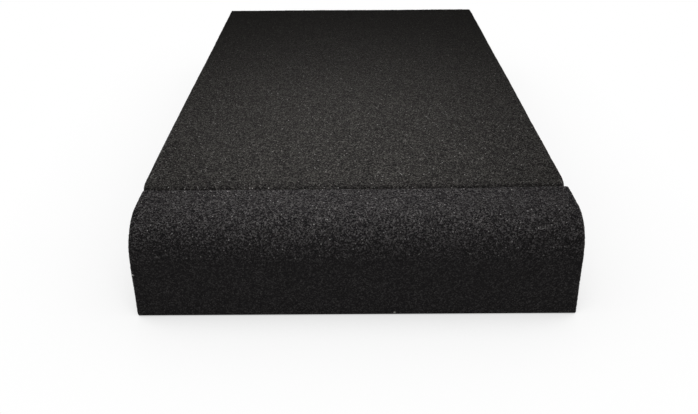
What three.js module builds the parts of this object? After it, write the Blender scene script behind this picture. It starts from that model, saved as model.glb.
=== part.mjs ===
// Speaker isolation pad: two blocks of dense open-cell foam that a small monitor stands on.
//
// The base pad is the block on the desk. Its front is a full-height nose with a broad rounded
// top edge, and behind the nose it steps down to a ramp that falls to the rear. The wedge insert
// lies loose on that ramp, thin end against the nose, so its top is level with the nose. Lifted
// out and turned end for end, it tilts the monitor by twice the angle of the ramp.
//
// Millimetres, +Z up. The nose faces -Y, and the origin is on the floor at the middle of the
// footprint.

import * as THREE from 'three';

// Overall size
const padWidth = 170;
const padLength = 300;
const padHeight = 40;

// Nose of the base pad
const noseDepth = 31;
const noseRadius = 16;

// Wedge insert and the slope that it shares with the ramp under it
const insertThinEnd = 11;
const rampDegrees = 3.5;

// Fit of the insert in its place: it is cut a little narrower than the base
const sideInset = 0.5;
const seamGap = 0.6;
const seatClearance = 0.3;

// Cut foam has slightly soft edges. Those along the two sides stay tighter than the corners of
// the profile, so that the corners keep a radius where the side edges round over them.
const cutEdgeRadius = 0.9;
const sideEdgeRound = cutEdgeRadius * 2 / 3;

// Facets of each rounded corner of the profile, and across each side edge
const cornerSegments = 14;
const sideEdgeSegments = 3;

// Places along the side profile
const front = -padLength / 2;
const rear = padLength / 2;
const seam = front + noseDepth;
const insertFront = seam + seamGap;
const insertWidth = padWidth - 2 * sideInset;
const rampSlope = Math.tan(THREE.MathUtils.degToRad(rampDegrees));

// Height of the insert's underside at a distance along the pad
function insertUnderside(y) {
  return padHeight - insertThinEnd - rampSlope * (y - insertFront);
}

// Height of the ramp under the insert, the clearance being measured square to the slope
function rampHeight(y) {
  return insertUnderside(y) - seatClearance * Math.hypot(1, rampSlope);
}

// Points of the circular fillet at a convex corner of a profile that runs anticlockwise
function filletPoints(before, corner, after, radius) {
  const arriving = corner.clone().sub(before).normalize();
  const leaving = after.clone().sub(corner).normalize();
  const turn = Math.acos(arriving.dot(leaving));
  const intoFoam = new THREE.Vector2(-arriving.y, arriving.x);
  const centre = corner.clone()
    .addScaledVector(arriving, -radius * Math.tan(turn / 2))
    .addScaledVector(intoFoam, radius);
  const startAngle = intoFoam.angle() + Math.PI;
  const arc = new THREE.EllipseCurve(
    centre.x, centre.y, radius, radius, startAngle, startAngle + turn,
  );
  return arc.getPoints(cornerSegments);
}

// Closed side profile in the Y-Z plane. Each corner is [y, z, radius], and 0 leaves it sharp.
function sideProfile(corners) {
  const at = corners.map(([y, z]) => new THREE.Vector2(y, z));
  const points = corners.flatMap(([, , radius], i) => {
    if (radius === 0) return [at[i]];
    return filletPoints(at.at(i - 1), at[i], at[(i + 1) % at.length], radius);
  });
  return new THREE.Shape(points);
}

// Foam cut to a side profile, with softened edges at both sides, centred across the pad
function cutFoam(name, profile, width, material) {
  const geometry = new THREE.ExtrudeGeometry(profile, {
    depth: width - 2 * sideEdgeRound,
    bevelThickness: sideEdgeRound,
    bevelSize: sideEdgeRound,
    bevelOffset: -sideEdgeRound,
    bevelSegments: sideEdgeSegments,
  });
  const mesh = new THREE.Mesh(geometry, material);
  mesh.name = name;
  mesh.rotation.set(Math.PI / 2, Math.PI / 2, 0);
  mesh.position.x = sideEdgeRound - width / 2;
  return mesh;
}

function makeBasePad(material) {
  const profile = sideProfile([
    [front, 0, cutEdgeRadius],
    [rear, 0, cutEdgeRadius],
    [rear, rampHeight(rear), cutEdgeRadius],
    [seam, rampHeight(seam), 0],
    [seam, padHeight, cutEdgeRadius],
    [front, padHeight, noseRadius],
  ]);
  return cutFoam('base_pad', profile, padWidth, material);
}

function makeWedgeInsert(material) {
  const profile = sideProfile([
    [insertFront, insertUnderside(insertFront), cutEdgeRadius],
    [rear, insertUnderside(rear), cutEdgeRadius],
    [rear, padHeight, cutEdgeRadius],
    [insertFront, padHeight, cutEdgeRadius],
  ]);
  return cutFoam('wedge_insert', profile, insertWidth, material);
}

const baseFoam = new THREE.MeshStandardMaterial({ color: 0x201f1e, roughness: 0.95, metalness: 0 });
const insertFoam = new THREE.MeshStandardMaterial({ color: 0x232120, roughness: 0.95, metalness: 0 });

const isolationPad = new THREE.Group();
isolationPad.add(makeBasePad(baseFoam), makeWedgeInsert(insertFoam));

export default isolationPad;
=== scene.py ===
"""Speaker isolation pad: a foam base pad and the foam wedge that lies on its ramp, in a plain
studio. It is laid out as an add-on, and everything is in metres, in the frame of the part."""

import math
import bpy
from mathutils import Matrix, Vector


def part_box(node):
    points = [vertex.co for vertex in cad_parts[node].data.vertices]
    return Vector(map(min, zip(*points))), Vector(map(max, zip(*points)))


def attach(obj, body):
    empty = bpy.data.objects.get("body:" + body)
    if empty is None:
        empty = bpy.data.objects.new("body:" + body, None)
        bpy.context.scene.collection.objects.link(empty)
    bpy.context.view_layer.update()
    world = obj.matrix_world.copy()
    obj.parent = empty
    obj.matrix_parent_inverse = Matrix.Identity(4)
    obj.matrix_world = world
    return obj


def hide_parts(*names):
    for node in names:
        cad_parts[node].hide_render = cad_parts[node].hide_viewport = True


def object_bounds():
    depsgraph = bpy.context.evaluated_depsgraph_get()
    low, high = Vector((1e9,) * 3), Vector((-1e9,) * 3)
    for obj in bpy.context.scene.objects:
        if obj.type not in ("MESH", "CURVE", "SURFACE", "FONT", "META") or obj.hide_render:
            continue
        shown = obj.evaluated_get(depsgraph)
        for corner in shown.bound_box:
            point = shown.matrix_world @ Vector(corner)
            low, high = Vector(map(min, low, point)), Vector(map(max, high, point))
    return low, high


bl_info = {
    "name": "Speaker Isolation Pad",
    "version": (1, 0, 0),
    "blender": (4, 5, 0),
    "location": "View3D > Sidebar > Isolation Pad",
    "description": "Foam base pad and wedge insert for a small monitor, with a plain studio",
    "category": "Object",
}

import bmesh
import bpy
import numpy as np
from bpy.props import FloatProperty, FloatVectorProperty, IntProperty, PointerProperty
from mathutils import Matrix, Vector, noise
from mathutils.geometry import delaunay_2d_cdt

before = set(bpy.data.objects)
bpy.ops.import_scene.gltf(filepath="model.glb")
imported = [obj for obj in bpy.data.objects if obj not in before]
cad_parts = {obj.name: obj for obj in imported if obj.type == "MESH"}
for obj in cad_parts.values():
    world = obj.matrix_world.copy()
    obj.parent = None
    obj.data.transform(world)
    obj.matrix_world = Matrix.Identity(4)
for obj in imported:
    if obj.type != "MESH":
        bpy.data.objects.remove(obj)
CAD_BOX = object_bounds()
BASE_LOW, BASE_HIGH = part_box("base_pad")
INSERT_LOW, INSERT_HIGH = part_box("wedge_insert")

MM = 0.001
BODY = "root"
# Layer of painted shade: how much the foam is darkened at the seam, where shade falls in the gap
SEAM_SHADE_LAYER = "painted_seam_shade"

# Stops of the colour ramps, each a position and a grey
STRUT_STOPS = [(0.1, 0.15), (0.45, 0.55), (0.8, 1)]
CELL_TONE_STOPS = [(0, 0), (0.6, 0.2), (1, 1)]
CLOUD_STOPS = [(0.3, 0.86), (0.7, 1)]
UPWARD_STOPS = [(0, 0), (0.7, 1)]
GLINT_CHOICE_STOPS = [(0.92, 0), (0.99, 1)]
GLINT_CORE_STOPS = [(0.12, 1), (0.34, 0)]
SPECK_STOPS = [(0.3, 1), (1, 0)]
FLOOR_SHADOW_STOPS = [(0.3, 0.62), (0.7, 0.93), (0.98, 1)]


class PadSizes(bpy.types.PropertyGroup):
    """Form of the two foam pieces, where the frame's boxes don't give it."""

    nose_radius: FloatProperty(
        name="Nose radius",
        description="Round of the top front edge of the base pad",
        default=16 * MM,
        min=2 * MM,
        unit="LENGTH",
    )
    ramp_angle: FloatProperty(
        name="Ramp angle",
        description="Slope of the ramp under the insert",
        default=math.radians(3.5),
        unit="ROTATION",
    )
    seam_gap: FloatProperty(
        name="Seam gap",
        description="Gap between the nose and the thin end of the insert",
        default=0.6 * MM,
        unit="LENGTH",
    )
    seat_clearance: FloatProperty(
        name="Seat clearance",
        description="Gap between the ramp and the insert on it",
        default=0.3 * MM,
        unit="LENGTH",
    )
    cut_edge: FloatProperty(
        name="Cut edge",
        description="Softness of the edges that run across the pad",
        default=0.9 * MM,
        unit="LENGTH",
    )
    side_edge: FloatProperty(
        name="Side edge",
        description="Softness of the edges along the two sides, less than that of a cut edge",
        default=0.8 * MM,
        unit="LENGTH",
    )
    insert_lip: FloatProperty(
        name="Insert lip",
        description="Round of the insert's top edge at the seam",
        default=2.2 * MM,
        unit="LENGTH",
    )
    insert_spread: FloatProperty(
        name="Insert spread",
        description="How far the soft insert stands out of its solid at each side",
        default=1.0 * MM,
        unit="LENGTH",
    )
    insert_shift: FloatProperty(
        name="Insert shift",
        description="How far the insert lies to the left of the middle",
        default=0.35 * MM,
        unit="LENGTH",
    )


class FoamCut(bpy.types.PropertyGroup):
    """How the knife left the foam: its grain, and how far its faces and edges wander."""

    nose_pitch: FloatProperty(
        name="Nose pitch",
        description="Mesh pitch on the nose of the base pad",
        default=0.66 * MM,
        unit="LENGTH",
    )
    top_pitch: FloatProperty(
        name="Top pitch",
        description="Mesh pitch on the top of the insert",
        default=0.84 * MM,
        unit="LENGTH",
    )
    side_pitch: FloatProperty(
        name="Side pitch",
        description="Mesh pitch on the cut sides",
        default=1.15 * MM,
        unit="LENGTH",
    )
    seat_pitch: FloatProperty(
        name="Seat pitch",
        description="Mesh pitch on the faces that lie on each other or on the desk",
        default=6 * MM,
        unit="LENGTH",
    )
    grain: FloatProperty(
        name="Grain",
        description="Height of the grain that the cut cells leave",
        default=0.035 * MM,
        unit="LENGTH",
    )
    pits: FloatProperty(
        name="Pits",
        description="Depth of the larger open cells",
        default=0.16 * MM,
        unit="LENGTH",
    )
    pit_size: FloatProperty(
        name="Pit size",
        description="Distance between the larger open cells",
        default=2.2 * MM,
        unit="LENGTH",
    )
    wander: FloatProperty(
        name="Wander",
        description="How far the cut faces leave a true plane",
        default=0.3 * MM,
        unit="LENGTH",
    )
    seed: IntProperty(name="Seed", description="Seed of the grain", default=7)


class FoamLook(bpy.types.PropertyGroup):
    """Colour and gloss of the open-cell foam."""

    cell_size: FloatProperty(
        name="Cell size",
        description="Size of one foam cell",
        default=0.4 * MM,
        unit="LENGTH",
    )
    pore_colour: FloatVectorProperty(
        name="Pore colour",
        description="Bottom of the open cells",
        subtype="COLOR",
        default=(0.0068, 0.0062, 0.0072),
    )
    strut_colour: FloatVectorProperty(
        name="Strut colour",
        description="Cell edges at the surface",
        subtype="COLOR",
        default=(0.287, 0.277, 0.27),
    )
    base_tint: FloatVectorProperty(
        name="Base tint",
        description="What the pore and strut colours are multiplied by on the base pad",
        subtype="COLOR",
        default=(1.17, 1.15, 1.17),
    )
    insert_tint: FloatVectorProperty(
        name="Insert tint",
        description="What the pore and strut colours are multiplied by on the insert",
        subtype="COLOR",
        default=(1.045, 1.03, 0.98),
    )
    # Colour of the painted glints, which stand for cell skins catching the light, and of the lint specks
    painted_glint_and_lint_colour: FloatVectorProperty(
        name="Glint colour",
        description="Cell skins that catch the light",
        subtype="COLOR",
        default=(0.85, 0.83, 0.8),
    )
    glint_spacing: FloatProperty(
        name="Glint spacing",
        description="Size of the cells that a glint may fill",
        default=0.85 * MM,
        unit="LENGTH",
    )
    front_grain: FloatProperty(
        name="Front grain",
        description="Contrast of the grain on top of the insert at the seam, as a share of that of the nose",
        default=0.94,
        min=0,
        max=1,
    )
    rear_grain: FloatProperty(
        name="Rear grain",
        description="Contrast of the grain on top of the insert at its rear, as a share of that of the nose",
        default=0.32,
        min=0,
        max=1,
    )
    speck_size: FloatProperty(
        name="Speck size",
        description="Reach of each bit of lint from its middle",
        default=0.55 * MM,
        unit="LENGTH",
    )
    left_speck: FloatVectorProperty(
        name="Left speck",
        description="Bit of lint at the left of the front",
        subtype="XYZ",
        unit="LENGTH",
        default=(-84.5 * MM, -150 * MM, 19.7 * MM),
    )
    low_speck: FloatVectorProperty(
        name="Low speck",
        description="Bit of lint at the foot of the front",
        subtype="XYZ",
        unit="LENGTH",
        default=(14.9 * MM, -150 * MM, 1.3 * MM),
    )
    # Strength of the painted shade that darkens the foam at the seam
    painted_shade_strength: FloatProperty(
        name="Seam shade",
        description="How much darker the foam is in the seam",
        default=0.8,
        min=0,
        max=1,
    )
    relief: FloatProperty(
        name="Relief",
        description="Strength of the bump of the cells",
        default=0.9,
        min=0,
        max=1,
    )
    roughness: FloatProperty(
        name="Roughness",
        description="Roughness of the foam",
        default=0.95,
        min=0,
        max=1,
    )
    gloss: FloatProperty(
        name="Gloss",
        description="Specular level of the foam",
        default=0.02,
        min=0,
        max=1,
    )


class StudioSetup(bpy.types.PropertyGroup):
    """Camera, lamps and floor."""

    camera_place: FloatVectorProperty(
        name="Camera place",
        description="Where the camera stands",
        subtype="XYZ",
        unit="LENGTH",
        default=(-3.04 * MM, -379.09 * MM, 180.08 * MM),
    )
    camera_down: FloatProperty(
        name="Camera down",
        description="How far the camera looks down from level",
        default=0.5204,
        unit="ROTATION",
    )
    camera_turn: FloatProperty(
        name="Camera turn",
        description="How far the camera is turned to the left",
        default=-0.0016,
        unit="ROTATION",
    )
    camera_roll: FloatProperty(
        name="Camera roll",
        description="How far the camera leans to its right",
        default=0.005,
        unit="ROTATION",
    )
    lens: FloatProperty(
        name="Lens",
        description="Focal length in millimetres on a sensor 36 mm wide",
        default=38.01,
        unit="CAMERA",
    )
    key_power: FloatProperty(
        name="Key power",
        description="Power of the soft panel above the seam",
        default=0.197,
        unit="POWER",
    )
    key_place: FloatVectorProperty(
        name="Key place",
        description="Where the soft panel hangs",
        subtype="XYZ",
        unit="LENGTH",
        default=(-5 * MM, -78 * MM, 192 * MM),
    )
    key_size: FloatVectorProperty(
        name="Key size",
        description="Width and length of the soft panel above the seam",
        size=2,
        unit="LENGTH",
        default=(60 * MM, 150 * MM),
    )
    front_power: FloatProperty(
        name="Front power",
        description="Power of the soft panel in front of the pad",
        default=0.725,
        unit="POWER",
    )
    front_height: FloatProperty(
        name="Front height",
        description="Height of the soft panel in front of the pad",
        default=260 * MM,
        unit="LENGTH",
    )
    front_size: FloatVectorProperty(
        name="Front size",
        description="Width and height of the soft panel in front of the pad",
        size=2,
        unit="LENGTH",
        default=(400 * MM, 300 * MM),
    )
    panel_distance: FloatProperty(
        name="Panel distance",
        description="How far the panels in front, at the sides and at the rear stand away",
        default=600 * MM,
        unit="LENGTH",
    )
    rim_power: FloatProperty(
        name="Rim power",
        description="Power of each of the low panels at the sides and the rear",
        default=2,
        unit="POWER",
    )
    rim_width: FloatProperty(
        name="Rim width",
        description="Width of each of the low panels, which are as high as the pad",
        default=400 * MM,
        unit="LENGTH",
    )
    sky: FloatProperty(
        name="Sky",
        description="Strength of the even light from all sides",
        default=0.02,
        min=0,
    )
    floor_bounce: FloatProperty(
        name="Floor bounce",
        description="Share of the lamps' light that the floor throws back on the pad",
        default=0.3,
        min=0,
        max=1,
    )
    shadow_reach: FloatProperty(
        name="Shadow reach",
        description="How far the soft shadow reaches from the pad over the floor",
        default=90 * MM,
        unit="LENGTH",
    )


def fillet(before, corner, after, radius, pitch):
    """Points of the round at a convex corner of an outline that runs anticlockwise."""
    arriving = (corner - before).normalized()
    leaving = (after - corner).normalized()
    turn = arriving.angle(leaving)
    inward = Vector((-arriving.y, arriving.x))
    centre = corner - arriving * radius * math.tan(turn / 2) + inward * radius
    least_steps = 4
    steps = max(least_steps, round(radius * turn / pitch))
    return [
        centre - Matrix.Rotation(turn * i / steps, 2) @ inward * radius
        for i in range(steps + 1)
    ]


def side_outline(corners):
    """Closed side outline in the Y-Z plane, anticlockwise, and how rough each point is.

    Each corner is (y, z, radius, pitch, rough). Its radius rounds it, and from there to the next
    corner the outline is cut at the pitch and is as rough as it says, from 0 to 1."""
    at = [Vector(corner[:2]) for corner in corners]
    rounds = []
    for i, (_, _, radius, pitch, _) in enumerate(corners):
        before, after = at[i - 1], at[(i + 1) % len(at)]
        rounds.append(
            fillet(before, at[i], after, radius, pitch) if radius else [at[i]]
        )
    points, rough = [], []
    for i, (_, _, _, pitch, how_rough) in enumerate(corners):
        start, end = rounds[i][-1], rounds[(i + 1) % len(rounds)][0]
        steps = max(1, round((end - start).length / pitch))
        run = [start.lerp(end, k / steps) for k in range(1, steps)]
        points += rounds[i] + run
        rough += [how_rough] * len(rounds[i] + run)
    return np.array(points), np.array(rough, float)


def outward(outline):
    """Unit normals of a closed anticlockwise outline."""
    along = np.roll(outline, -1, axis=0) - np.roll(outline, 1, axis=0)
    across = np.column_stack([along[:, 1], -along[:, 0]])
    return across / np.linalg.norm(across, axis=1, keepdims=True)


def inside(points, outline, margin):
    """Which points lie inside a closed outline and further than the margin from its edge."""
    start, end = outline, np.roll(outline, -1, axis=0)
    run = end - start
    keep = np.zeros(len(points), bool)
    for k, point in enumerate(points):
        crosses = (start[:, 1] > point[1]) != (end[:, 1] > point[1])
        rise = np.where(crosses, run[:, 1], 1)
        reach = start[:, 0] + (point[1] - start[:, 1]) * run[:, 0] / rise
        odd = np.count_nonzero(crosses & (point[0] < reach)) % 2
        share = ((point - start) * run).sum(axis=1) / (run**2).sum(axis=1)
        nearest = start + run * np.clip(share, 0, 1)[:, None]
        clear = ((point - nearest) ** 2).sum(axis=1).min() > margin**2
        keep[k] = odd and clear
    return keep


def side_face(outline, pitch, draws):
    """Points inside a side outline, and triangles over the outline's points and those."""
    low, high = outline.min(axis=0), outline.max(axis=0)
    row_height = pitch * math.sqrt(3) / 2
    rows = np.arange(low[1], high[1], row_height)
    grid = [
        (y + pitch / 2 * (k % 2), z)
        for k, z in enumerate(rows)
        for y in np.arange(low[0], high[0], pitch)
    ]
    loose, margin = 0.22 * pitch, 0.55 * pitch
    grid = np.array(grid) + draws.uniform(-loose, loose, (len(grid), 2))
    grid = grid[inside(grid, outline, margin)]
    flat = [Vector(p) for p in np.vstack([outline, grid]) / MM]
    ring = list(range(len(outline)))
    inside_only, tolerance = 1, 1e-5
    found = delaunay_2d_cdt(flat, [], [ring], inside_only, tolerance)
    _, _, triangles, origins = found[:4]
    return grid, [[origins[v][0] for v in triangle] for triangle in triangles]


def foam_block(name, outline, rough, width, edge, pitch, side_pitch, draws):
    """Closed mesh of foam cut to a side outline, and how rough each of its vertices is.

    The outline is swept across the pad, drawn in round the edges at both sides, and closed by a
    face of small triangles at each side."""
    edge_steps = 4
    turns = [math.pi / 2 * k / edge_steps for k in range(edge_steps, 0, -1)]
    round_in = [(edge * (1 - math.sin(t)), edge * (1 - math.cos(t))) for t in turns]
    middle = width - 2 * edge
    count = round(middle / pitch)
    sections = [(x, inset) for x, inset in round_in]
    sections += [(edge + middle * k / count, 0) for k in range(count + 1)]
    sections += [(width - x, inset) for x, inset in reversed(round_in)]
    normals = outward(outline)
    rings = [
        np.column_stack([np.full(len(outline), x - width / 2), outline - normals * inset])
        for x, inset in sections
    ]
    size = len(outline)
    step = np.arange(size)
    following = (step + 1) % size
    faces = [
        np.column_stack([step, following, following + size, step + size]) + size * k
        for k in range(len(rings) - 1)
    ]
    faces = np.vstack(faces).tolist()
    grid, triangles = side_face(rings[0][:, 1:], side_pitch, draws)
    for x, ring in ((-width / 2, 0), (width / 2, len(sections) - 1)):
        first = sum(len(r) for r in rings)
        rings.append(np.column_stack([np.full(len(grid), x), grid]))
        place = [ring * size + k for k in range(size)] + list(range(first, first + len(grid)))
        faces += [[place[v] for v in triangle] for triangle in triangles]
    mesh = bpy.data.meshes.new(name)
    mesh.from_pydata(np.vstack(rings), [], faces)
    face_outwards(mesh)
    vertex_rough = np.concatenate([np.tile(rough, len(sections)), np.ones(2 * len(grid))])
    return mesh, vertex_rough


def face_outwards(mesh):
    """Turns all the faces of a closed mesh outwards and shades them smooth."""
    shell = bmesh.new()
    shell.from_mesh(mesh)
    bmesh.ops.recalc_face_normals(shell, faces=shell.faces)
    for face in shell.faces:
        face.smooth = True
    shell.to_mesh(mesh)
    shell.free()


def places(mesh):
    """The vertices of a mesh as rows of X, Y and Z."""
    at = np.empty(len(mesh.vertices) * 3)
    mesh.vertices.foreach_get("co", at)
    return at.reshape(-1, 3)


def set_places(mesh, at):
    mesh.vertices.foreach_set("co", at.ravel())
    mesh.update()


def swell(at, size, seed):
    """Smooth noise at each row of places, from about -1 to 1, with waves about a size long."""
    away = Vector((seed, 2.3 * seed, 3.7 * seed))
    return np.array([noise.noise(Vector(p) / size + away) for p in at])


def open_cells(at, size):
    """How deep each place lies in the open cell round it: 1 at its middle, 0 at its edge."""
    depth = np.empty(len(at))
    for k, p in enumerate(at):
        near, next_near = noise.voronoi(Vector(p) / size)[0][:2]
        depth[k] = 1 - near / next_near
    return depth


def roughen(mesh, rough, cut, pitch, draws):
    """Gives the faces of a foam block the wander of the knife and the grain of cut cells."""
    at = places(mesh)
    normals = np.empty(len(at) * 3)
    mesh.vertices.foreach_get("normal", normals)
    normals = normals.reshape(-1, 3)
    long_wave, short_wave = 70 * MM, 9 * MM
    height = cut.wander * swell(at, long_wave, cut.seed)
    height += cut.wander / 3 * swell(at, short_wave, cut.seed + 1)
    pit_edge = 0.35
    pits = np.clip(open_cells(at, cut.pit_size) - pit_edge, 0, 1)
    height -= cut.pits * pits * draws.uniform(0, 1, len(at))
    height += cut.grain * draws.normal(0, 1, len(at))
    slide = 0.2
    loose = draws.uniform(-1, 1, at.shape) * slide * pitch
    loose -= normals * (loose * normals).sum(axis=1, keepdims=True)
    at += (normals * height[:, None] + loose) * rough[:, None]
    at[:, 2] = np.maximum(at[:, 2], 0)
    set_places(mesh, at)


def seam_wander(x, half_width):
    """How far the seam lies behind its true place, as the knife left it."""
    middle, slant, right_bend = -0.8 * MM, 0.1 * MM, 1.75 * MM
    share = x / half_width
    skew = middle + slant * share + right_bend * np.clip(share, 0, 1) ** 2
    along = np.column_stack([x, 0 * x, 0 * x])
    long_wave, long_seed, long_reach = 14 * MM, 3, 0.22 * MM
    short_wave, short_seed, short_reach = 4 * MM, 5, 0.12 * MM
    skew += long_reach * swell(along, long_wave, long_seed)
    return skew + short_reach * swell(along, short_wave, short_seed)


def mark_painted_seam_shade(mesh, depth):
    """Stores how deep each vertex lies in the seam, from 0 to 1, for the material to paint shade there."""
    attribute = mesh.attributes.new(SEAM_SHADE_LAYER, "FLOAT", "POINT")
    attribute.data.foreach_set("value", depth.astype(np.float32))


def add_piece(name, mesh, node, material):
    """Puts a foam piece in the scene, in place of its node."""
    piece = bpy.data.objects.new(name, mesh)
    bpy.context.scene.collection.objects.link(piece)
    mesh.materials.append(material)
    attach(piece, BODY)
    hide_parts(node)
    return piece


class NodeMaker:
    """Adds shader nodes to a material and joins them."""

    def __init__(self, tree):
        self.tree = tree

    def add(self, kind, **settings):
        """A new node of a kind, with its settings."""
        node = self.tree.nodes.new(kind)
        for name, value in settings.items():
            setattr(node, name, value)
        return node

    def join(self, source, target):
        """A link from an output to an input."""
        self.tree.links.new(source, target)

    def calculate(self, operation, first, second):
        """A Math node on two sockets or numbers."""
        node = self.add("ShaderNodeMath", operation=operation)
        for socket, value in zip(node.inputs, (first, second)):
            if isinstance(value, (int, float)):
                socket.default_value = value
            else:
                self.join(value, socket)
        return node.outputs[0]

    def ramp(self, factor, stops):
        """A Color Ramp on a factor. Each stop is (position, grey)."""
        node = self.add("ShaderNodeValToRGB")
        elements = node.color_ramp.elements
        while len(elements) < len(stops):
            elements.new(0.5)
        for element, (position, grey) in zip(elements, stops):
            element.position = position
            element.color = (grey, grey, grey, 1)
        self.join(factor, node.inputs["Fac"])
        return node.outputs["Color"]

    def mix(self, factor, first, second):
        """A Mix node between two colours, each a socket or a colour."""
        node = self.add("ShaderNodeMix", data_type="RGBA")
        pairs = ((node.inputs[0], factor), (node.inputs[6], first), (node.inputs[7], second))
        for socket, value in pairs:
            if isinstance(value, bpy.types.NodeSocket):
                self.join(value, socket)
            elif isinstance(value, (int, float)):
                socket.default_value = value
            else:
                socket.default_value = (*value, 1)
        return node.outputs[2]


def foam_cells(make, place, cell_size):
    """How far each spot of the foam stands out of its cell, from 0 in a pore to 1 on a strut."""
    bend = make.add("ShaderNodeTexNoise")
    bend_cells = 2
    bend.inputs["Scale"].default_value = 1 / (bend_cells * cell_size)
    make.join(place, bend.inputs["Vector"])
    shift = make.add("ShaderNodeVectorMath", operation="MULTIPLY_ADD")
    make.join(bend.outputs["Color"], shift.inputs[0])
    shift.inputs[1].default_value = [cell_size] * 3
    make.join(place, shift.inputs[2])

    cells = make.add("ShaderNodeTexVoronoi", feature="F1")
    cells.inputs["Scale"].default_value = 1 / cell_size
    make.join(shift.outputs[0], cells.inputs["Vector"])
    strut = make.ramp(cells.outputs["Distance"], STRUT_STOPS)
    each = make.add("ShaderNodeSeparateColor")
    make.join(cells.outputs["Color"], each.inputs["Color"])
    cell_tone = make.ramp(each.outputs["Red"], CELL_TONE_STOPS)
    lit = make.calculate("MULTIPLY", strut, cell_tone)

    cloud = make.add("ShaderNodeTexNoise")
    cloud_size, cloud_detail = 14 * MM, 4
    cloud.inputs["Scale"].default_value = 1 / cloud_size
    cloud.inputs["Detail"].default_value = cloud_detail
    make.join(place, cloud.inputs["Vector"])
    return make.calculate("MULTIPLY", lit, make.ramp(cloud.outputs["Fac"], CLOUD_STOPS))


def grain_contrast(make, place, front_grain, rear_grain):
    """Contrast of the grain, which changes along the top and is weaker on upright faces."""
    facing = make.add("ShaderNodeSeparateXYZ")
    make.join(make.add("ShaderNodeNewGeometry").outputs["Normal"], facing.inputs[0])
    upward = make.ramp(facing.outputs["Z"], UPWARD_STOPS)
    along = make.add("ShaderNodeSeparateXYZ")
    make.join(place, along.inputs[0])
    share = make.add("ShaderNodeMapRange")
    fade_start = BASE_LOW.y / 1.5
    share.inputs["From Min"].default_value = fade_start
    share.inputs["From Max"].default_value = BASE_HIGH.y
    share.inputs["To Min"].default_value = front_grain
    share.inputs["To Max"].default_value = rear_grain
    make.join(along.outputs["Y"], share.inputs["Value"])
    upright_grain = 0.45
    return make.mix(upward, [upright_grain] * 3, share.outputs["Result"])


def painted_glint_and_lint_mask(make, place, look, contrast, specks):
    """Where a painted glint stands for a cell skin that catches the light, or a bit of lint lies, from 0 to
    1.
    """
    glints = make.add("ShaderNodeTexVoronoi", feature="F1")
    glints.inputs["Scale"].default_value = 1 / look.glint_spacing
    make.join(place, glints.inputs["Vector"])
    which = make.add("ShaderNodeSeparateColor")
    make.join(glints.outputs["Color"], which.inputs["Color"])
    chosen = make.ramp(which.outputs["Green"], GLINT_CHOICE_STOPS)
    core = make.ramp(glints.outputs["Distance"], GLINT_CORE_STOPS)
    glint = make.calculate("MULTIPLY", chosen, core)
    glint = make.calculate("MULTIPLY", glint, contrast)
    for speck in specks:
        apart = make.add("ShaderNodeVectorMath", operation="DISTANCE")
        make.join(place, apart.inputs[0])
        apart.inputs[1].default_value = speck
        size = make.calculate("DIVIDE", apart.outputs["Value"], look.speck_size)
        glint = make.calculate("MAXIMUM", glint, make.ramp(size, SPECK_STOPS))
    return glint


def foam_material(name, look, tint, front_grain=1, rear_grain=1, specks=()):
    """Open-cell foam: dark pores between paler struts, a few of which carry a painted glint where they would
    catch the light.

    Its upright faces were cut smoother, so their grain is weaker, and painted shade darkens the foam in the
    seam. The specks are places where a bit of lint lies."""
    material = bpy.data.materials.new(name)
    material.use_nodes = True
    make = NodeMaker(material.node_tree)
    shader = material.node_tree.nodes["Principled BSDF"]
    place = make.add("ShaderNodeTexCoord").outputs["Object"]

    contrast = grain_contrast(make, place, front_grain, rear_grain)
    mean_lit = 0.13
    lit = make.mix(contrast, [mean_lit] * 3, foam_cells(make, place, look.cell_size))
    # Painted shade: the foam is darkened where the seam layer says, in place of the shade in the gap
    painted_seam_shade = make.add("ShaderNodeAttribute", attribute_name=SEAM_SHADE_LAYER).outputs["Fac"]
    shade = make.calculate("MULTIPLY", painted_seam_shade, -look.painted_shade_strength)
    lit = make.calculate("MULTIPLY", lit, make.calculate("ADD", shade, 1))

    pore = [c * t for c, t in zip(look.pore_colour, tint)]
    top = [c * t for c, t in zip(look.strut_colour, tint)]
    # Painted glints, as pale spots of colour, and the lint specks
    glint = painted_glint_and_lint_mask(make, place, look, contrast, specks)
    foam = make.mix(lit, pore, top)
    make.join(make.mix(glint, foam, look.painted_glint_and_lint_colour), shader.inputs["Base Color"])

    bump = make.add("ShaderNodeBump")
    pore_depth = 0.4 * look.cell_size
    bump.inputs["Strength"].default_value = look.relief
    bump.inputs["Distance"].default_value = pore_depth
    make.join(lit, bump.inputs["Height"])
    make.join(bump.outputs["Normal"], shader.inputs["Normal"])

    shader.inputs["Roughness"].default_value = look.roughness
    shader.inputs["Specular IOR Level"].default_value = look.gloss
    return material


def slope_drop(sizes):
    """How far the insert's underside falls from its front to its rear."""
    return math.tan(sizes.ramp_angle) * (INSERT_HIGH.y - INSERT_LOW.y)


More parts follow.
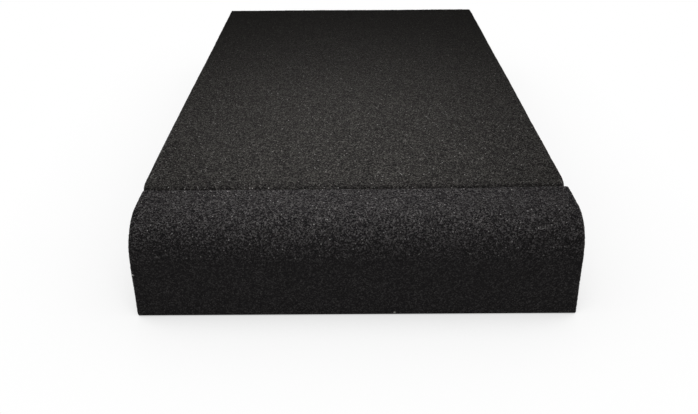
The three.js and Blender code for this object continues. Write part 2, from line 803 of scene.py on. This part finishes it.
class ISOLATION_PAD_OT_base_pad(bpy.types.Operator):
    """Make the base pad: the rounded nose, the step behind it and the ramp"""

    bl_idname = "isolation_pad.base_pad"
    bl_label = "Base Pad"

    def execute(self, context):
        sizes, cut = context.scene.pad_sizes, context.scene.foam_cut
        draws = np.random.default_rng(cut.seed)
        seam = INSERT_LOW.y - sizes.seam_gap
        ramp_rear = INSERT_LOW.z - sizes.seat_clearance
        ramp_front = ramp_rear + slope_drop(sizes)
        fine, side, seat = cut.nose_pitch, cut.side_pitch, cut.seat_pitch
        edge, step_rough = sizes.cut_edge, 0.4
        outline, rough = side_outline(
            [
                (BASE_LOW.y, 0, edge, seat, 0),
                (BASE_HIGH.y, 0, edge, side, 1),
                (BASE_HIGH.y, ramp_rear, edge, seat, 0),
                (seam, ramp_front, 0, fine, step_rough),
                (seam, BASE_HIGH.z, edge, fine, 1),
                (BASE_LOW.y, BASE_HIGH.z, sizes.nose_radius, fine, 1),
            ]
        )
        width = BASE_HIGH.x - BASE_LOW.x
        mesh, rough = foam_block(
            "base_foam", outline, rough, width, sizes.side_edge, fine, side, draws
        )
        self.bend_seam(mesh, seam, ramp_front, width / 2)
        self.lean_sides(mesh, width / 2)
        roughen(mesh, rough, cut, fine, draws)
        look = context.scene.foam_look
        specks = (look.left_speck, look.low_speck)
        material = foam_material("base_foam", look, look.base_tint, specks=specks)
        add_piece("base_foam", mesh, "base_pad", material)
        return {"FINISHED"}

    def bend_seam(self, mesh, seam, ramp_front, half_width):
        """Moves the rear of the nose as the knife wandered. It fades out towards the front."""
        at = places(mesh)
        near, fade = 0.5 * MM, 14 * MM
        nose = (at[:, 1] < seam + near) & (at[:, 2] > ramp_front - near)
        share = np.clip(1 - (seam - at[:, 1]) / fade, 0, 1) * nose
        # Painted shade darkens the nose's rear lip at the seam
        lip, lip_painted_shade = 0.6 * MM, 0.5
        mark_painted_seam_shade(mesh, lip_painted_shade * np.clip(1 - (seam - at[:, 1]) / lip, 0, 1) * nose)
        at[:, 1] += share * seam_wander(at[:, 0], half_width)
        set_places(mesh, at)

    def lean_sides(self, mesh, half_width):
        """Moves the sides out a little at the foot, and on the right at the top of the nose."""
        at = places(mesh)
        across, up = at[:, 0] / half_width, at[:, 2] / BASE_HIGH.z
        right_foot, left_foot, right_crown, crown_start = 1.1 * MM, 0.5 * MM, 0.6 * MM, 0.7
        foot = np.where(across > 0, right_foot, left_foot) * (1 - up) ** 2
        crown = np.where(across > 0, right_crown, 0)
        crown *= np.clip((up - crown_start) / (1 - crown_start), 0, 1)
        at[:, 0] += across * (foot + crown)
        set_places(mesh, at)


class ISOLATION_PAD_OT_wedge_insert(bpy.types.Operator):
    """Make the wedge insert that lies on the ramp"""

    bl_idname = "isolation_pad.wedge_insert"
    bl_label = "Wedge Insert"

    def execute(self, context):
        sizes, cut = context.scene.pad_sizes, context.scene.foam_cut
        draws = np.random.default_rng(cut.seed + 1)
        underside_front = INSERT_LOW.z + slope_drop(sizes)
        fine, side, seat = cut.top_pitch, cut.side_pitch, cut.seat_pitch
        edge, lip_rough = sizes.cut_edge, 0.5
        outline, rough = side_outline(
            [
                (INSERT_LOW.y, underside_front, edge, seat, 0),
                (INSERT_HIGH.y, INSERT_LOW.z, edge, side, 1),
                (INSERT_HIGH.y, INSERT_HIGH.z, edge, fine, 1),
                (INSERT_LOW.y, INSERT_HIGH.z, sizes.insert_lip, fine, lip_rough),
            ]
        )
        width = INSERT_HIGH.x - INSERT_LOW.x
        mesh, rough = foam_block(
            "insert_foam", outline, rough, width, sizes.side_edge, fine, side, draws
        )
        self.settle(mesh, width / 2, sizes)
        roughen(mesh, rough, cut, fine, draws)
        look = context.scene.foam_look
        material = foam_material(
            "insert_foam", look, look.insert_tint, look.front_grain, look.rear_grain
        )
        add_piece("insert_foam", mesh, "wedge_insert", material)
        return {"FINISHED"}

    def settle(self, mesh, half_width, sizes):
        """Fits the front of the insert to the seam, with its lip a little below the nose, and
        gives it its true width and place."""
        at = places(mesh)
        behind = at[:, 1] - INSERT_LOW.y
        across = np.abs(at[:, 0] / half_width)
        # Painted shade darkens the insert's top behind the seam, fading over this reach and stronger at the
        # corners
        shaded, painted_seam_shade, corner_painted_shade = 3.4 * MM, 0.5, 0.1
        depth = painted_seam_shade + corner_painted_shade * across**3
        mark_painted_seam_shade(mesh, depth * np.clip(1 - behind / shaded, 0, 1))
        seam_fade = 30 * MM
        share = np.clip(1 - behind / seam_fade, 0, 1)
        at[:, 1] += share * seam_wander(at[:, 0], half_width)
        droop_fade, middle_droop, corner_droop = 8 * MM, 0.2 * MM, 0.35 * MM
        droop = middle_droop + corner_droop * across**3
        height = (at[:, 2] - INSERT_LOW.z) / (INSERT_HIGH.z - INSERT_LOW.z)
        at[:, 2] -= droop * np.clip(1 - behind / droop_fade, 0, 1) ** 2 * height
        pinch_fade, pinch = 7 * MM, 0.9 * MM
        pinched = pinch * np.clip(1 - behind / pinch_fade, 0, 1) ** 2
        at[:, 0] *= 1 + (sizes.insert_spread - pinched) / half_width
        at[:, 0] -= sizes.insert_shift
        set_places(mesh, at)


class ISOLATION_PAD_OT_studio(bpy.types.Operator):
    """Make the pale floor, the soft lamps and the camera"""

    bl_idname = "isolation_pad.studio"
    bl_label = "Studio"

    def execute(self, context):
        setup = context.scene.studio_setup
        self.add_camera(context.scene, setup)
        self.add_floor(context.scene, setup)
        self.add_sky(context.scene, setup)
        self.add_panels(context.scene, setup)
        context.scene.view_settings.view_transform = "Standard"
        return {"FINISHED"}

    def add_camera(self, scene, setup):
        data = bpy.data.cameras.new("camera")
        sensor_in_mm = 36
        data.sensor_width = sensor_in_mm
        data.lens = setup.lens
        data.clip_start = 10 * MM
        camera = bpy.data.objects.new("camera", data)
        level = math.radians(90)
        down = Matrix.Rotation(level - setup.camera_down, 4, "X")
        turn = Matrix.Rotation(setup.camera_turn, 4, "Z")
        roll = Matrix.Rotation(-setup.camera_roll, 4, "Z")
        camera.matrix_world = Matrix.Translation(setup.camera_place) @ turn @ down @ roll
        scene.collection.objects.link(camera)
        scene.camera = camera

    def add_floor(self, scene, setup):
        reach, below = 3.0, 0.1 * MM
        corners = [(x, y, -below) for x, y in ((-1, -1), (1, -1), (1, 1), (-1, 1))]
        mesh = bpy.data.meshes.new("floor")
        mesh.from_pydata([(x * reach, y * reach, z) for x, y, z in corners], [], [range(4)])
        floor = bpy.data.objects.new("floor", mesh)
        scene.collection.objects.link(floor)
        mesh.materials.append(self.floor_material(setup))

    def floor_material(self, setup):
        """White to the eye, but for the soft shadow round the pad, and grey to the light of the
        lamps, so that little of it is thrown back on the foam."""
        material = bpy.data.materials.new("paper_floor")
        material.use_nodes = True
        make = NodeMaker(material.node_tree)
        output = material.node_tree.nodes["Material Output"]
        material.node_tree.nodes.remove(material.node_tree.nodes["Principled BSDF"])
        seen = self.seen(make)
        paper = make.add("ShaderNodeBsdfDiffuse")
        bounce = [setup.floor_bounce] * 3
        make.join(make.mix(seen, bounce, (0, 0, 0)), paper.inputs["Color"])
        open_sky = make.add("ShaderNodeAmbientOcclusion")
        open_sky.inputs["Distance"].default_value = setup.shadow_reach
        shadow = make.ramp(open_sky.outputs["AO"], FLOOR_SHADOW_STOPS)
        glow = make.add("ShaderNodeEmission")
        make.join(make.calculate("MULTIPLY", seen, shadow), glow.inputs["Strength"])
        both = make.add("ShaderNodeAddShader")
        make.join(paper.outputs[0], both.inputs[0])
        make.join(glow.outputs[0], both.inputs[1])
        make.join(both.outputs[0], output.inputs["Surface"])
        return material

    def add_sky(self, scene, setup):
        world = bpy.data.worlds.new("sky")
        world.use_nodes = True
        make = NodeMaker(world.node_tree)
        background = world.node_tree.nodes["Background"]
        strength = make.add("ShaderNodeMix", data_type="FLOAT")
        make.join(self.seen(make), strength.inputs[0])
        strength.inputs[2].default_value = setup.sky
        strength.inputs[3].default_value = 1
        background.inputs["Color"].default_value = (1, 1, 1, 1)
        make.join(strength.outputs[0], background.inputs["Strength"])
        scene.world = world

    def seen(self, make):
        """1 for rays that show a surface to the eye, also in gloss or through glass, else 0."""
        rays = make.add("ShaderNodeLightPath")
        seen = make.calculate("MAXIMUM", rays.outputs["Is Camera Ray"], rays.outputs["Is Glossy Ray"])
        return make.calculate("MAXIMUM", seen, rays.outputs["Is Transmission Ray"])

    def add_panels(self, scene, setup):
        """One soft panel above the seam, one in front, and a low one at each other side."""
        low, high = CAD_BOX
        away = setup.panel_distance
        down = Vector((0, 0, -1))
        self.add_panel(scene, "key_panel", setup.key_place, down, setup.key_power, setup.key_size)
        place = Vector((0, low.y - away, setup.front_height))
        aim = Vector((0, low.y, 0)) - place
        self.add_panel(scene, "front_panel", place, aim, setup.front_power, setup.front_size)
        size = (setup.rim_width, high.z)
        for name, side in (("left", (-1, 0)), ("right", (1, 0)), ("rear", (0, 1))):
            outward_way = Vector((*side, 0))
            place = outward_way * (away + side[1] * high.y) + Vector((0, 0, high.z / 2))
            self.add_panel(scene, name + "_panel", place, -outward_way, setup.rim_power, size)

    def add_panel(self, scene, name, place, towards, power, size):
        data = bpy.data.lights.new(name, "AREA")
        data.shape = "RECTANGLE"
        data.size, data.size_y = size
        data.energy = power
        lamp = bpy.data.objects.new(name, data)
        lamp.location = place
        lamp.rotation_euler = Vector(towards).to_track_quat("-Z", "Y").to_euler()
        lamp.visible_camera = False
        scene.collection.objects.link(lamp)


class ISOLATION_PAD_PT_sidebar(bpy.types.Panel):
    """Makes the pad piece by piece"""

    bl_idname = "ISOLATION_PAD_PT_sidebar"
    bl_label = "Isolation Pad"
    bl_space_type = "VIEW_3D"
    bl_region_type = "UI"
    bl_category = "Isolation Pad"

    def draw(self, context):
        for name in SETTINGS:
            group = getattr(context.scene, name)
            box = self.layout.box()
            for setting in group.bl_rna.properties:
                if setting.identifier not in ("rna_type", "name"):
                    box.prop(group, setting.identifier)
        for operator in OPERATORS:
            self.layout.operator(operator.bl_idname)


SETTINGS = {
    "pad_sizes": PadSizes,
    "foam_cut": FoamCut,
    "foam_look": FoamLook,
    "studio_setup": StudioSetup,
}
OPERATORS = (
    ISOLATION_PAD_OT_base_pad,
    ISOLATION_PAD_OT_wedge_insert,
    ISOLATION_PAD_OT_studio,
)


def register():
    for kind in (*SETTINGS.values(), *OPERATORS, ISOLATION_PAD_PT_sidebar):
        bpy.utils.register_class(kind)
    for name, kind in SETTINGS.items():
        setattr(bpy.types.Scene, name, PointerProperty(type=kind))


def unregister():
    for name in SETTINGS:
        delattr(bpy.types.Scene, name)
    for kind in (ISOLATION_PAD_PT_sidebar, *reversed(OPERATORS), *SETTINGS.values()):
        bpy.utils.unregister_class(kind)


def main():
    register()
    bpy.ops.isolation_pad.studio()
    bpy.ops.isolation_pad.base_pad()
    bpy.ops.isolation_pad.wedge_insert()


if __name__ == "__main__":
    main()
